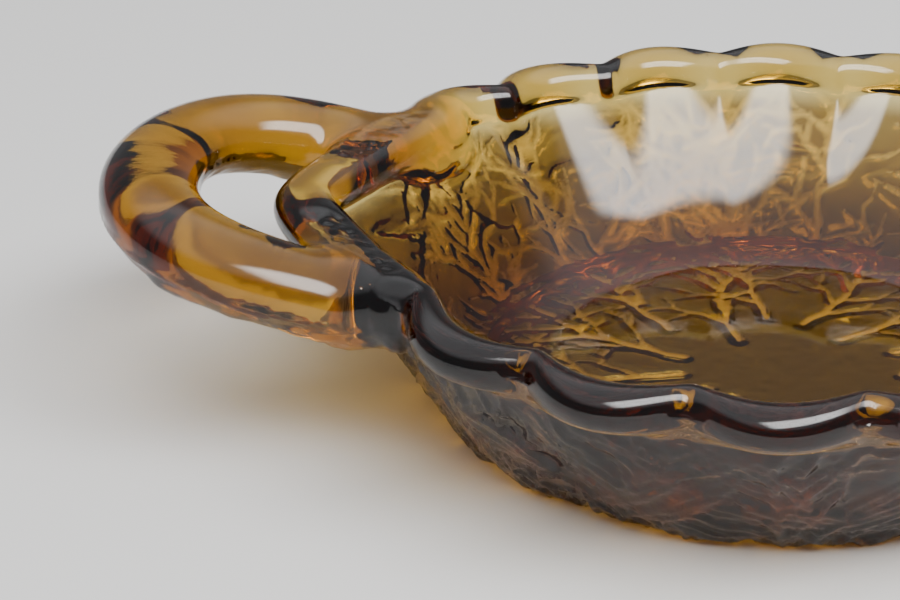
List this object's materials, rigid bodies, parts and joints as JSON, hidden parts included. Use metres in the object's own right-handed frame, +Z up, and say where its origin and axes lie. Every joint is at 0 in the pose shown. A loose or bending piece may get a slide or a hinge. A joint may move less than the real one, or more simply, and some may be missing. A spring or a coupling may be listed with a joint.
{
  "type": "two-handled glass dish",
  "caption": "Low round dish of pressed amber glass, pointed at both ends, with a scalloped rim bead, a relief underside and a solid loop handle at each point.",
  "frame": {"origin": "on the surface the foot stands on, below the middle of the dish", "axes": "+X along the line through both handles, away from handle_left; +Y across the dish; +Z up"},
  "size_m": [0.2812, 0.1904, 0.0514],
  "materials": {
    "amber_glass": "clear fire-polished amber glass, relief pressed underside"
  },
  "bodies": {
    "root": {"bowl": "amber_glass", "handle_left": "amber_glass", "handle_right": "amber_glass"}
  },
  "joints": []
}
